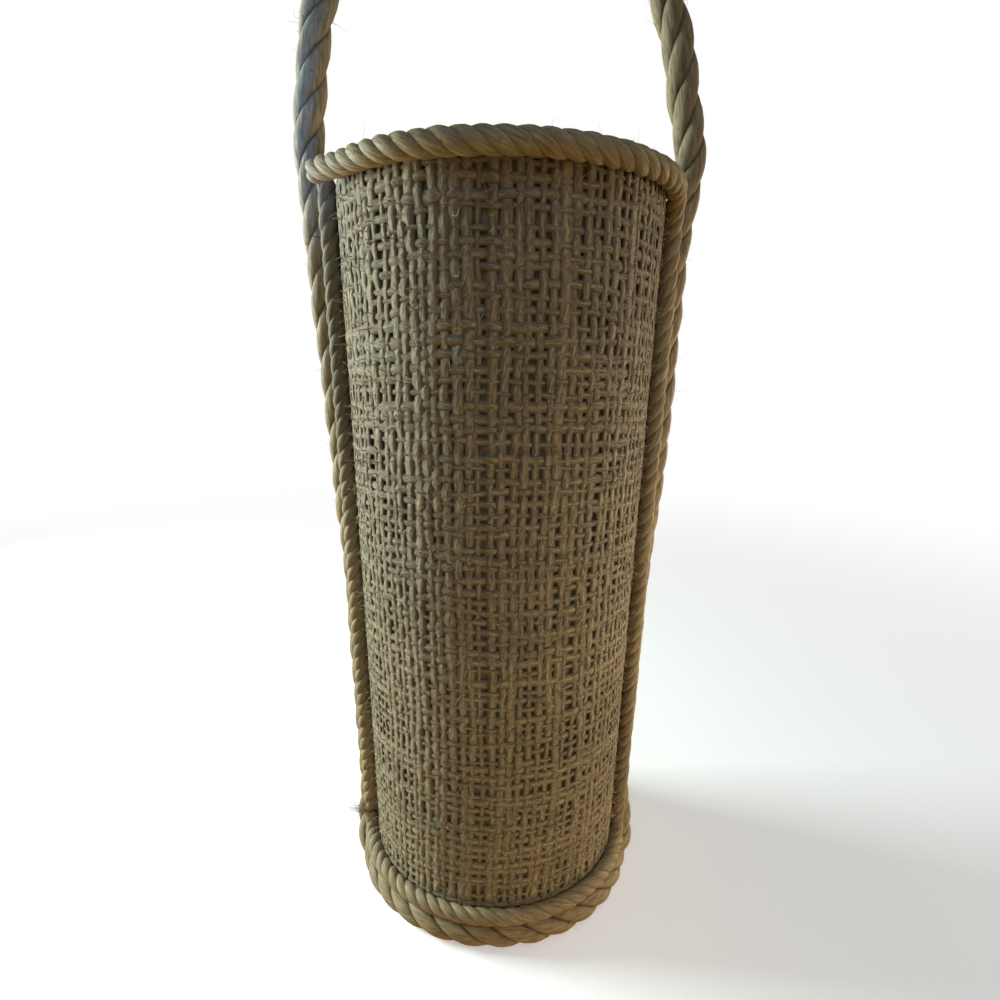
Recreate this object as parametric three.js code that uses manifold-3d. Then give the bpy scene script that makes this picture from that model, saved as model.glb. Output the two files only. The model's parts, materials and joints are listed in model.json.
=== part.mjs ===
// Bottle carrier bag: a stiff round tube under burlap, edged with twisted rope, with a rope handle.
// Millimetres, +Z up, front towards -Y. The origin is on the ground, under the tube's axis.
// An azimuth is an angle round the axis: 0 faces front, +90 degrees is the right side (+X).

import * as THREE from 'three';
import { mergeVertices } from 'three/addons/utils/BufferGeometryUtils.js';
import Module from 'manifold-3d';

const wasm = await Module();
wasm.setup();

// Driving dimensions: the whole bag
const bagHeight = 249;
const coverRadius = 50;
const coverThickness = 1.6;

// Driving dimensions: the tube and what lies in it
const tubeWall = 2;
const boardThickness = 3;
const discThickness = 1.6;
const liningThickness = 0.8;
const hemDepth = 12;

// Driving dimensions: the ropes
const trimRopeDiameter = 6;
const carryRopeDiameter = 9;
const trimCornerRadius = 11;
const trimFootRadius = 6;
const carryBendRadius = 14;
const baseCourseTuck = 1.34;
const handleHeight = 92;
const handleHalfWidth = 57.5;
const handleFlareHeight = 8;
const handlePeak = 1.2;

// Clearances
const glueGap = 0.3;
const seamGap = 0.6;
const ropeGap = 0.3;
const jointGap = 0.4;

// How finely the round shapes are cut
const lathePoints = 72;
const trimSides = 8;
const carrySides = 12;
const degreesPerRing = 7.5;
const ringsPerCorner = 4;
const handleRings = 36;

// Radii worked out from the outside in
const trimRadius = trimRopeDiameter / 2;
const carryRadius = carryRopeDiameter / 2;
const coverInner = coverRadius - coverThickness;
const tubeOuter = coverInner - glueGap;
const tubeInner = tubeOuter - tubeWall;
const liningOuter = tubeInner - glueGap;
const liningInner = liningOuter - liningThickness;
const hemOuter = tubeInner - glueGap;
const hemInner = hemOuter - coverThickness;

// Heights worked out from the ground up
const flatDepth = carryRopeDiameter / 10;
const baseCourseZ = carryRadius - flatDepth;
const wallReach = carryRadius + ropeGap;
const baseCourseRadius = coverRadius + baseCourseTuck;
const wallBottom = baseCourseZ + Math.sqrt(wallReach ** 2 - baseCourseTuck ** 2);
const boardBottom = wallBottom;
const boardTop = boardBottom + boardThickness;
const discTop = boardBottom - glueGap;
const discBottom = discTop - discThickness;
const floorBottom = boardTop + glueGap;
const floorTop = floorBottom + liningThickness;
const hemBottom = bagHeight - hemDepth;
const tubeTop = bagHeight - coverThickness - glueGap;
const liningTop = hemBottom - glueGap;
const pivotZ = bagHeight + carryRadius + ropeGap;

// Where the ropes run on the wall
const trimPathRadius = coverRadius + trimRadius + ropeGap;
const carryPathRadius = coverRadius + wallReach;
const ropeSpacing = trimRadius + carryRadius + ropeGap;
const sideAzimuth = Math.PI / 2;
const trimAzimuth = sideAzimuth - angleBetween(trimPathRadius, carryPathRadius, ropeSpacing);
const trimTopZ = bagHeight - trimRadius;
const trimFootZ = baseCourseZ + Math.sqrt(ropeSpacing ** 2 - (trimPathRadius - baseCourseRadius) ** 2);

// Materials
const burlap = { color: 0x8c7c5c, roughness: 0.95, metalness: 0 };
const jute = { color: 0xa08a60, roughness: 0.9, metalness: 0 };
const board = { color: 0x9a8260, roughness: 0.85, metalness: 0 };
const cotton = { color: 0xb8a888, roughness: 0.95, metalness: 0 };

// The angle at the axis between two circles' points that lie a given distance apart
function angleBetween(radiusA, radiusB, distance) {
  return Math.acos((radiusA ** 2 + radiusB ** 2 - distance ** 2) / (2 * radiusA * radiusB));
}

// A point on a cylinder about Z
function onCylinder(azimuth, z, radius) {
  return new THREE.Vector3(radius * Math.sin(azimuth), -radius * Math.cos(azimuth), z);
}

// The carrying rope leans in over the wall's bottom edge as it comes down, always wallReach from it
function carryRadiusAt(z) {
  const below = Math.max(0, wallBottom - z);
  return coverRadius + Math.sqrt(Math.max(0, wallReach ** 2 - below ** 2));
}

// A route made of straight steps between its own stations, one ring of the rope at each station
class StationRoute extends THREE.Curve {
  constructor(points) {
    super();
    this.points = points;
  }

  getPoint(t, target = new THREE.Vector3()) {
    const place = t * (this.points.length - 1);
    const index = Math.min(Math.max(Math.floor(place), 0), this.points.length - 2);
    return target.lerpVectors(this.points[index], this.points[index + 1], place - index);
  }

  getUtoTmapping(u) {
    return u;
  }
}

// Stations on the unrolled wall: [azimuth, z]
function levelRun(fromAzimuth, toAzimuth, z) {
  const sweep = THREE.MathUtils.radToDeg(Math.abs(toAzimuth - fromAzimuth));
  const rings = Math.max(1, Math.round(sweep / degreesPerRing));
  const stations = [];
  for (let i = 0; i <= rings; i++) {
    stations.push([fromAzimuth + (toAzimuth - fromAzimuth) * i / rings, z]);
  }
  return stations;
}

// A quarter turn on the unrolled wall about a centre, from one direction angle to another
function quarterTurn(centreAzimuth, centreZ, radius, wrapRadius, fromAngle, toAngle) {
  const stations = [];
  for (let i = 0; i <= ringsPerCorner; i++) {
    const angle = fromAngle + (toAngle - fromAngle) * i / ringsPerCorner;
    stations.push([
      centreAzimuth + radius * Math.cos(angle) / wrapRadius,
      centreZ + radius * Math.sin(angle),
    ]);
  }
  return stations;
}

// A rope along stations: a round section carried along them
function ropeGeometry(points, radius, sides) {
  const section = new THREE.Shape();
  for (let i = 0; i < sides; i++) {
    const angle = 2 * Math.PI * (i + 0.5) / sides;
    const x = radius * Math.cos(angle);
    const y = radius * Math.sin(angle);
    if (i === 0) {
      section.moveTo(x, y);
    } else {
      section.lineTo(x, y);
    }
  }
  return new THREE.ExtrudeGeometry(section, {
    extrudePath: new StationRoute(points),
    steps: points.length - 1,
    curveSegments: 1,
    bevelEnabled: false,
  });
}

// A closed geometry as a solid
function solidOf(geometry) {
  geometry.deleteAttribute('normal');
  geometry.deleteAttribute('uv');
  const merged = mergeVertices(geometry, 1e-4);
  return new wasm.Manifold(new wasm.Mesh({
    numProp: 3,
    vertProperties: new Float32Array(merged.attributes.position.array),
    triVerts: new Uint32Array(merged.index.array),
  }));
}

// A solid as a geometry
function geometryOf(solid) {
  const mesh = solid.getMesh();
  const geometry = new THREE.BufferGeometry();
  geometry.setAttribute('position', new THREE.BufferAttribute(mesh.vertProperties, 3));
  geometry.setIndex(new THREE.BufferAttribute(mesh.triVerts, 1));
  return geometry;
}

// A box given by two opposite corners, to cut with
function cuttingBox(low, high) {
  const box = new THREE.BoxGeometry(high[0] - low[0], high[1] - low[1], high[2] - low[2]);
  box.translate((low[0] + high[0]) / 2, (low[1] + high[1]) / 2, (low[2] + high[2]) / 2);
  return solidOf(box);
}

// A profile of [radius, z] corners turned about Z
function turned(corners) {
  const profile = corners.map(([radius, z]) => new THREE.Vector2(radius, z));
  const lathe = new THREE.LatheGeometry(profile, lathePoints);
  lathe.rotateX(Math.PI / 2);
  return lathe;
}

function turnedRing(innerRadius, outerRadius, bottomZ, topZ) {
  return turned([
    [innerRadius, bottomZ],
    [outerRadius, bottomZ],
    [outerRadius, topZ],
    [innerRadius, topZ],
    [innerRadius, bottomZ],
  ]);
}

function turnedDisc(radius, bottomZ, topZ) {
  return turned([
    [0, bottomZ],
    [radius, bottomZ],
    [radius, topZ],
    [0, topZ],
  ]);
}

// Cuts a standing rope flat on the ground
function cutAtGround(geometry) {
  const reach = 2 * carryPathRadius;
  const below = cuttingBox([-reach, -reach, -carryRopeDiameter], [reach, reach, 0]);
  return geometryOf(solidOf(geometry).subtract(below));
}

const bag = new THREE.Group();

function addPiece(name, geometry, look, parent = bag) {
  const mesh = new THREE.Mesh(geometry, new THREE.MeshStandardMaterial(look));
  mesh.name = name;
  parent.add(mesh);
  return mesh;
}

// The stiff tube and its bottom board
function addTube() {
  addPiece('tube_core', turnedRing(tubeInner, tubeOuter, wallBottom, tubeTop), board);
  addPiece('base_board', turnedDisc(tubeInner - glueGap, boardBottom, boardTop), board);
}

// Half of the burlap cover, on the front (side -1) or the rear (side 1).
// It is folded in over the tube's top edge, and its hem lies inside.
function addCover(name, side) {
  const shell = solidOf(turned([
    [coverRadius, wallBottom],
    [coverRadius, bagHeight],
    [hemInner, bagHeight],
    [hemInner, hemBottom],
    [hemOuter, hemBottom],
    [hemOuter, bagHeight - coverThickness],
    [coverInner, bagHeight - coverThickness],
    [coverInner, wallBottom],
    [coverRadius, wallBottom],
  ]));
  const reach = 2 * coverRadius;
  const seam = seamGap / 2;
  const half = side < 0
    ? cuttingBox([-reach, -reach, -1], [reach, -seam, bagHeight + 1])
    : cuttingBox([-reach, seam, -1], [reach, reach, bagHeight + 1]);
  addPiece(name, geometryOf(shell.intersect(half)), burlap);
}

// The lining sleeve and the two layers at the bottom
function addLining() {
  addPiece('lining_sleeve', turnedRing(liningInner, liningOuter, floorBottom, liningTop), cotton);
  addPiece('lining_floor', turnedDisc(liningInner - glueGap, floorBottom, floorTop), cotton);
  addPiece('base_burlap_disc', turnedDisc(liningOuter - glueGap, discBottom, discTop), burlap);
}

// The front trim rope: along the rim, round the right corner, down and along the foot.
// Its left end lies over the top of a separate piece that closes the left side.
function addFrontTrim() {
  const cornerTurn = trimCornerRadius / trimPathRadius;
  const footTurn = trimFootRadius / trimPathRadius;
  const overlap = (trimRadius - jointGap) / trimPathRadius;
  const leftJointZ = trimFootZ + trimFootRadius + trimRadius;
  const stations = [
    ...levelRun(-trimAzimuth - overlap, trimAzimuth - cornerTurn, trimTopZ),
    ...quarterTurn(trimAzimuth - cornerTurn, trimTopZ - trimCornerRadius, trimCornerRadius, trimPathRadius,
      Math.PI / 2, 0).slice(1),
    ...quarterTurn(trimAzimuth - footTurn, trimFootZ + trimFootRadius, trimFootRadius, trimPathRadius,
      0, -Math.PI / 2),
    ...levelRun(trimAzimuth - footTurn, -trimAzimuth + footTurn, trimFootZ).slice(1),
    ...quarterTurn(-trimAzimuth + footTurn, trimFootZ + trimFootRadius, trimFootRadius, trimPathRadius,
      1.5 * Math.PI, Math.PI).slice(1),
    [-trimAzimuth, leftJointZ - jointGap / 2],
  ];
  const points = stations.map(([azimuth, z]) => onCylinder(azimuth, z, trimPathRadius));
  addPiece('front_trim_rope', ropeGeometry(points, trimRadius, trimSides), jute);

  // The left side: straight up from the foot's end to under the rim rope's end
  const left = [
    onCylinder(-trimAzimuth, leftJointZ + jointGap / 2, trimPathRadius),
    onCylinder(-trimAzimuth, trimTopZ - trimRadius - jointGap, trimPathRadius),
  ];
  addPiece('front_trim_left_rope', ropeGeometry(left, trimRadius, trimSides), jute);
}

// The rear trim rope: one length round the whole rear panel, its ends meeting at the foot
function addRearTrim() {
  const cornerTurn = trimCornerRadius / trimPathRadius;
  const footTurn = trimFootRadius / trimPathRadius;
  const right = Math.PI - trimAzimuth;
  const left = Math.PI + trimAzimuth;
  const joint = jointGap / 2 / trimPathRadius;
  const stations = [
    ...levelRun(Math.PI - joint, right + footTurn, trimFootZ),
    ...quarterTurn(right + footTurn, trimFootZ + trimFootRadius, trimFootRadius, trimPathRadius,
      1.5 * Math.PI, Math.PI).slice(1),
    ...quarterTurn(right + cornerTurn, trimTopZ - trimCornerRadius, trimCornerRadius, trimPathRadius,
      Math.PI, Math.PI / 2),
    ...levelRun(right + cornerTurn, left - cornerTurn, trimTopZ).slice(1),
    ...quarterTurn(left - cornerTurn, trimTopZ - trimCornerRadius, trimCornerRadius, trimPathRadius,
      Math.PI / 2, 0).slice(1),
    ...quarterTurn(left - footTurn, trimFootZ + trimFootRadius, trimFootRadius, trimPathRadius,
      0, -Math.PI / 2),
    ...levelRun(left - footTurn, Math.PI + joint, trimFootZ).slice(1),
  ];
  const points = stations.map(([azimuth, z]) => onCylinder(azimuth, z, trimPathRadius));
  addPiece('rear_trim_rope', ropeGeometry(points, trimRadius, trimSides), jute);
}

// The carrying rope: down the left side, forward along the ground under the wall, up the right side
function addCarryingRope() {
  const bendTurn = carryBendRadius / carryPathRadius;
  const bendZ = baseCourseZ + carryBendRadius;
  const stations = [
    [-sideAzimuth, bagHeight],
    ...quarterTurn(-sideAzimuth + bendTurn, bendZ, carryBendRadius, carryPathRadius, Math.PI, 1.5 * Math.PI),
    ...levelRun(-sideAzimuth + bendTurn, sideAzimuth - bendTurn, baseCourseZ).slice(1),
    ...quarterTurn(sideAzimuth - bendTurn, bendZ, carryBendRadius, carryPathRadius, 1.5 * Math.PI, 2 * Math.PI)
      .slice(1),
    [sideAzimuth, bagHeight],
  ];
  const points = stations.map(([azimuth, z]) => onCylinder(azimuth, z, carryRadiusAt(z)));
  addPiece('carrying_rope', cutAtGround(ropeGeometry(points, carryRadius, carrySides)), jute);
}

// The rear base rope: closes the ring on the ground behind the two sides of the carrying rope
function addRearBaseRope() {
  const clearOfBend = Math.sqrt((carryBendRadius + carryRadius + jointGap) ** 2
    - (carryBendRadius - carryRadius) ** 2) - carryBendRadius;
  const end = sideAzimuth + clearOfBend / baseCourseRadius;
  const points = levelRun(end, 2 * Math.PI - end, baseCourseZ)
    .map(([azimuth, z]) => onCylinder(azimuth, z, baseCourseRadius));
  addPiece('rear_base_rope', cutAtGround(ropeGeometry(points, carryRadius, carrySides)), jute);
}

// The handle: the free arch of the carrying rope, which tilts about X where it leaves the rim.
// It is x = halfWidth * cos(turn) ^ peak over z = height * sin(turn), and draws in to the side ropes
// over its lowest few millimetres.
function handlePoint(t) {
  const turn = Math.PI * t;
  const rise = Math.sin(turn) * (bagHeight + handleHeight - pivotZ);
  const drawnIn = (handleHalfWidth - carryPathRadius) * Math.exp(-((rise / handleFlareHeight) ** 2));
  const reach = handleHalfWidth * Math.abs(Math.cos(turn)) ** handlePeak;
  const side = t < 0.5 ? -1 : 1;
  return new THREE.Vector3(side * Math.max(0, reach - drawnIn), 0, rise);
}

function addHandle() {
  const points = [];
  for (let i = 0; i <= handleRings; i++) {
    points.push(handlePoint(i / handleRings));
  }
  let handle = solidOf(ropeGeometry(points, carryRadius, carrySides));
  for (const end of [points[0], points[handleRings]]) {
    const ball = new THREE.SphereGeometry(carryRadius, carrySides, carrySides / 2);
    ball.translate(end.x, end.y, end.z);
    handle = handle.add(solidOf(ball));
  }
  const pivot = new THREE.Group();
  pivot.position.z = pivotZ;
  bag.add(pivot);
  addPiece('handle_rope', geometryOf(handle), jute, pivot);
}

addTube();
addCover('front_burlap_panel', -1);
addCover('rear_burlap_panel', 1);
addLining();
addFrontTrim();
addRearTrim();
addCarryingRope();
addRearBaseRope();
addHandle();

export default bag;
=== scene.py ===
import json
import math
import bpy
import numpy as np
from mathutils import Matrix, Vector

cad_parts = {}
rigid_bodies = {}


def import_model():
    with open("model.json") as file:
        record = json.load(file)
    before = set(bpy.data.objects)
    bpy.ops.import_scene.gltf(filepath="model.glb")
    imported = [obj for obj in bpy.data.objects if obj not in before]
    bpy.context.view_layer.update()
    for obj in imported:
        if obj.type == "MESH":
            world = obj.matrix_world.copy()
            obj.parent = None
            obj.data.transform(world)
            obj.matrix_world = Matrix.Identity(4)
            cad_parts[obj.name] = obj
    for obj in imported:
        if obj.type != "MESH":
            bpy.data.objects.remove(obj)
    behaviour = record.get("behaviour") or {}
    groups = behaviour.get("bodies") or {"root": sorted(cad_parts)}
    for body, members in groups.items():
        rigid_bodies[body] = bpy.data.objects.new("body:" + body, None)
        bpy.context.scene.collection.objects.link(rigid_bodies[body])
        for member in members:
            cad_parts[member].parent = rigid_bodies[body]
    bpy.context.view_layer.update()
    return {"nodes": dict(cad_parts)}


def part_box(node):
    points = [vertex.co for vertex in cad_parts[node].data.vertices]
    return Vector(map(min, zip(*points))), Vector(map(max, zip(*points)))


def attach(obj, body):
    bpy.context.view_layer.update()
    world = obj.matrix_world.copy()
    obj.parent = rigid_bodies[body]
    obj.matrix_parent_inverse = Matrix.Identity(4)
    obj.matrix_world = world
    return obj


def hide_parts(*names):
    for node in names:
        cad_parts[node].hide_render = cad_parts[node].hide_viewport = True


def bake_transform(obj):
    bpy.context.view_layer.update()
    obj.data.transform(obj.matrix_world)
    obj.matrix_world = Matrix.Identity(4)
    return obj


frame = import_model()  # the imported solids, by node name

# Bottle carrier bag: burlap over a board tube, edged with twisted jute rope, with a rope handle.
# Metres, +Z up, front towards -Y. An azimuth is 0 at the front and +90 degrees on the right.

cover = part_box("front_burlap_panel")
rimZ = cover[1][2]
wallBottomZ = cover[0][2]
coverRadius = cover[1][0]
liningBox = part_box("lining_sleeve")
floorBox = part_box("lining_floor")
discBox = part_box("base_burlap_disc")
print("frame loaded, rim at", round(rimZ, 4))


# The camera stands where the photograph was taken from

cameraView = {
    "spot": (0.00054, -0.21437, 0.19733),
    "pitchDown": 19.54, "turnRight": 0.12, "roll": 0.71,  # degrees
    "focal": 600.0, "frame": 1000.0,  # pixels
    "sensor": 36.0,  # millimetres
    "axisBelowCentre": 80.0,  # pixels
}


def stand(name, data, right, up, back, spot):
    # The camera or a lamp, with its three axes and its place
    place = np.eye(4)
    place[:3] = np.stack([right, up, back, spot], axis=1)
    holder = bpy.data.objects.new(name, data)
    holder.matrix_world = Matrix(place.tolist())
    bpy.context.collection.objects.link(holder)
    return holder


def makeCamera(view):
    pitch, turn, roll = (math.radians(view[k]) for k in ("pitchDown", "turnRight", "roll"))
    ahead = np.array([math.sin(turn) * math.cos(pitch), math.cos(turn) * math.cos(pitch), -math.sin(pitch)])
    level = np.array([math.cos(turn), -math.sin(turn), 0.0])
    above = np.cross(level, ahead)
    right = math.cos(roll) * level + math.sin(roll) * above
    up = -math.sin(roll) * level + math.cos(roll) * above
    lens = bpy.data.cameras.new("photoCamera")
    lens.sensor_width = view["sensor"]
    lens.lens = view["sensor"] * view["focal"] / view["frame"]
    lens.shift_y = view["axisBelowCentre"] / view["frame"]
    lens.clip_start = 0.01
    bpy.context.scene.camera = stand("photoCamera", lens, right, up, -ahead, view["spot"])


makeCamera(cameraView)
bpy.context.scene.view_settings.view_transform = "Standard"
print("camera placed")


# Tools for surfaces on grids

dice = np.random.default_rng(41)


def unit(v):
    return v / np.maximum(np.linalg.norm(v, axis=-1, keepdims=True), 1e-12)


def smoothNoise(rows, count, spread):
    # White noise blurred along each row by a bell curve of the given spread, scaled back to one
    padded = count + int(8 * spread) + 8  # the blur wraps round, so the noise is longer than the row
    blur = np.exp(-2 * (math.pi * spread * np.fft.rfftfreq(padded)) ** 2)
    soft = np.fft.irfft(np.fft.rfft(dice.standard_normal((rows, padded))) * blur, padded)
    return soft[:, :count] / soft.std()


def wandering(rows, count, parts):
    # Smooth noises added up; parts gives each one's size and spread
    return sum(size * smoothNoise(rows, count, spread) for size, spread in parts)


def onWall(azimuth, z, radius):
    return np.stack([radius * np.sin(azimuth), -radius * np.cos(azimuth), z + 0 * azimuth], axis=-1)


def alongPath(path):
    steps = np.linalg.norm(np.diff(path, axis=-2), axis=-1)
    start = np.zeros(steps.shape[:-1] + (1,))
    return np.concatenate([start, np.cumsum(steps, axis=-1)], axis=-1)


def evenly(path, step):
    # The same path with points at equal distances; columns after the third are only carried along
    lengths = alongPath(path[:, :3])
    count = max(2, int(round(lengths[-1] / step)) + 1)
    at = np.linspace(0, lengths[-1], count)
    return np.stack([np.interp(at, lengths, path[:, i]) for i in range(path.shape[1])], axis=-1)


def catmullRom(a, b, c, d, t):
    # The curve from b to c at shares t of the way, with a before them and d after them
    return 0.5 * (2 * b + (c - a) * t + (2 * a - 5 * b + 4 * c - d) * t**2 + (3 * b - a - 3 * c + d) * t**3)


def smoothStep(x):
    x = np.clip(x, 0, 1)
    return x * x * (3 - 2 * x)


def putMesh(name, points, quads, rings, uvs, floats, material, smooth=True):
    # Quads as rows of four corners, rings as lists of corners that close the ends flat
    mesh = bpy.data.meshes.new(name)
    closing = np.concatenate(rings) if len(rings) else np.zeros(0, int)
    corners = np.concatenate([quads.ravel(), closing]).astype(np.int32)
    sizes = np.array([4] * len(quads) + [len(r) for r in rings])
    starts = np.concatenate([[0], np.cumsum(sizes)[:-1]]).astype(np.int32)
    mesh.vertices.add(len(points))
    mesh.vertices.foreach_set("co", points.astype(np.float32).ravel())
    mesh.loops.add(len(corners))
    mesh.loops.foreach_set("vertex_index", corners)
    mesh.polygons.add(len(sizes))
    mesh.polygons.foreach_set("loop_start", starts)
    mesh.polygons.foreach_set("use_smooth", np.array([smooth] * len(quads) + [False] * len(rings)))
    mesh.update(calc_edges=True)
    if uvs is not None:
        layer = mesh.uv_layers.new(name="lay")
        flat = np.concatenate([uvs.reshape(-1, 2), np.zeros((len(closing), 2))])
        layer.data.foreach_set("uv", flat.astype(np.float32).ravel())
    for label, values in floats.items():
        stored = mesh.attributes.new(label, "FLOAT", "POINT").data
        stored.foreach_set("value", values.astype(np.float32).ravel())
    mesh.validate()
    mesh.materials.append(material)
    piece = bpy.data.objects.new(name, mesh)
    bpy.context.collection.objects.link(piece)
    return piece


def tubes(name, centre, outward, halfWide, halfHigh, sides, material, tone, uneven=0.0, pointed=0.0):
    # Many tubes at once. centre and outward are (tube, step, 3) and the half sizes (tube, step).
    # A point of a section is centre + cos(t) * halfWide * across + h * halfHigh * away, where h is
    # sin(t) times its own size to the power pointed: a lens with thin edges where pointed is above 0.
    # Each point then moves in or out by a random share of up to about twice uneven.
    # UV: metres along the tube, and 0 to 1 round it. crown is 1 on the outward side, 0 inside.
    many, steps = centre.shape[:2]
    ahead = unit(np.gradient(centre, axis=1))
    across = unit(np.cross(ahead, outward))
    away = np.cross(across, ahead)
    turn = 2 * math.pi * (np.arange(sides) + 0.5) / sides
    lens = np.sin(turn) * np.abs(np.sin(turn)) ** pointed
    swell = 1 + uneven * dice.standard_normal((many, steps, sides, 1)).clip(-2, 2)
    section = centre[:, :, None] + swell * (
        np.cos(turn)[:, None] * halfWide[:, :, None, None] * across[:, :, None]
        + lens[:, None] * halfHigh[:, :, None, None] * away[:, :, None]
    )
    ids = np.arange(many * steps * sides).reshape(many, steps, sides)
    nextSide = np.roll(ids, -1, axis=2)
    quads = np.stack([ids[:, :-1], ids[:, 1:], nextSide[:, 1:], nextSide[:, :-1]], axis=-1).reshape(-1, 4)
    run = alongPath(centre)[:, :, None] + 0 * turn
    lap = np.broadcast_to(np.arange(sides) / sides, (many, steps, sides))
    u = np.stack([run[:, :-1], run[:, 1:], run[:, 1:], run[:, :-1]], axis=-1)
    v = np.stack([lap[:, :-1], lap[:, 1:], lap[:, 1:] + 1 / sides, lap[:, :-1] + 1 / sides], axis=-1)
    rings = list(ids[:, 0]) + list(ids[:, -1, ::-1])
    floats = {
        "crown": np.broadcast_to((1 + np.sin(turn)) / 2, (many, steps, sides)),
        "tone": np.broadcast_to(tone[:, None, None], (many, steps, sides)),
    }
    return putMesh(name, section.reshape(-1, 3), quads, rings, np.stack([u, v], axis=-1), floats, material)


# Shader effects that several materials share

white = (1, 1, 1, 1)
fibreMasks = {
    "coarse": (1.0, 4.0, 0.65), "fine": (3.1, 2.0, 0.6), "fineShare": 0.45,  # scale, detail and roughness
    "streak": (0.32, 0.68), "gloss": (0.5, 0.95),  # the heights between which colour and gloss change
}


def nodeIn(tree, kind, inputs=None, **settings):
    # A new shader node's outputs; an input that is another node's output is linked, any other is set
    node = tree.nodes.new("ShaderNode" + kind)
    for key, value in settings.items():
        setattr(node, key, value)
    for key, value in (inputs or {}).items():
        if isinstance(value, bpy.types.NodeSocket):
            tree.links.new(value, node.inputs[key])
        else:
            node.inputs[key].default_value = value
    return node.outputs


def maths(tree, operation, *values):
    return nodeIn(tree, "Math", dict(enumerate(values)), operation=operation)[0]


def noise(tree, place, scale, detail, rough=0.5):
    inputs = {"Vector": place, "Scale": scale, "Detail": detail, "Roughness": rough}
    return nodeIn(tree, "TexNoise", inputs)[0]


def ranged(tree, value, *limits, ease="LINEAR"):
    # From the first limit to the second the result goes from 0 to 1, or from the third to the fourth
    inputs = dict(enumerate((value,) + limits))
    return nodeIn(tree, "MapRange", inputs, interpolation_type=ease)[0]


def mixed(tree, factor, a, b, blend="MIX"):
    return nodeIn(tree, "Mix", {0: factor, 6: a, 7: b}, data_type="RGBA", blend_type=blend)[2]


def tinted(tree, body, mask, a, b):
    # The colour so far, times a colour that goes from a to b with the mask
    return mixed(tree, 1.0, body, mixed(tree, mask, a, b), "MULTIPLY")


def placed(tree, group, inputs):
    return nodeIn(tree, "Group", inputs, node_tree=group)


def newGroup(name, inputs, outputs):
    group = bpy.data.node_groups.new(name, "ShaderNodeTree")
    for label, value in inputs.items():  # a place has no value of its own
        kind = "NodeSocketVector" if value is None else "NodeSocketFloat"
        socket = group.interface.new_socket(label, in_out="INPUT", socket_type=kind)
        if value is not None:
            socket.default_value = value
    for label in outputs:
        group.interface.new_socket(label, in_out="OUTPUT", socket_type="NodeSocketFloat")
    return group, group.nodes.new("NodeGroupInput").outputs, group.nodes.new("NodeGroupOutput").inputs


def makeFibreGrain():
    # Long fine streaks that wind round a yarn: noise stretched along U and turned with V
    given = {"Lay": None, "Streaks": 14.0, "Length": 250.0, "Slant": 60.0}
    group, given, out = newGroup("fibreGrain", given, ["Streak", "Height"])
    parts = nodeIn(group, "SeparateXYZ", {0: given["Lay"]})
    wind = maths(group, "MULTIPLY_ADD", parts[0], given["Slant"], parts[1])
    across = maths(group, "MULTIPLY", wind, given["Streaks"])
    along = maths(group, "MULTIPLY", parts[0], given["Length"])
    place = nodeIn(group, "CombineXYZ", {0: along, 1: across})[0]
    coarse = noise(group, place, *fibreMasks["coarse"])
    fine = noise(group, place, *fibreMasks["fine"])
    group.links.new(coarse, out["Streak"])
    group.links.new(maths(group, "MULTIPLY_ADD", fine, fibreMasks["fineShare"], coarse), out["Height"])
    return group


def makeBlotches():
    # Broad soft patches over the whole bag, from 0 to 1, smaller stains, and small darker specks
    given = {"Spot": None, "Scale": 30.0, "Stain": 120.0, "Fleck": 900.0}
    group, given, out = newGroup("blotches", given, ["Patch", "Tint", "Speck"])
    for size, mask, detail, low, high in (
        ("Scale", "Patch", 3.0, 0.35, 0.65),
        ("Stain", "Tint", 2.0, 0.42, 0.72),
        ("Fleck", "Speck", 2.0, 0.62, 0.78),
    ):
        cloud = noise(group, given["Spot"], given[size], detail)
        group.links.new(ranged(group, cloud, low, high), out[mask])
    return group


fibreGrain = makeFibreGrain()
blotches = makeBlotches()


def newMaterial(name, look):
    # The material, its tree and shader, the place on the piece, and the broad patches that all have
    material = bpy.data.materials.new(name)
    material.use_nodes = True
    tree = material.node_tree
    shader = tree.nodes["Principled BSDF"]
    for socket, value in (
        ("Roughness", look["rough"]), ("Sheen Weight", look["sheen"]), ("Sheen Roughness", 0.5),
        ("Sheen Tint", (1.0, 0.90, 0.70, 1)), ("Specular IOR Level", 0.35),
    ):
        shader.inputs[socket].default_value = value
    spot = nodeIn(tree, "TexCoord")["Object"]
    broad = placed(tree, blotches, {"Spot": spot, "Scale": look["patches"], "Fleck": look["flecks"]})
    return material, tree, shader, spot, broad


def dress(tree, shader, look, body, height):
    # The finished colour and the relief go to the shader
    tree.links.new(body, shader.inputs["Base Color"])
    relief = {"Height": height, "Distance": look["bumpDistance"], "Strength": look["bump"]}
    tree.links.new(nodeIn(tree, "Bump", relief)[0], shader.inputs["Normal"])


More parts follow.
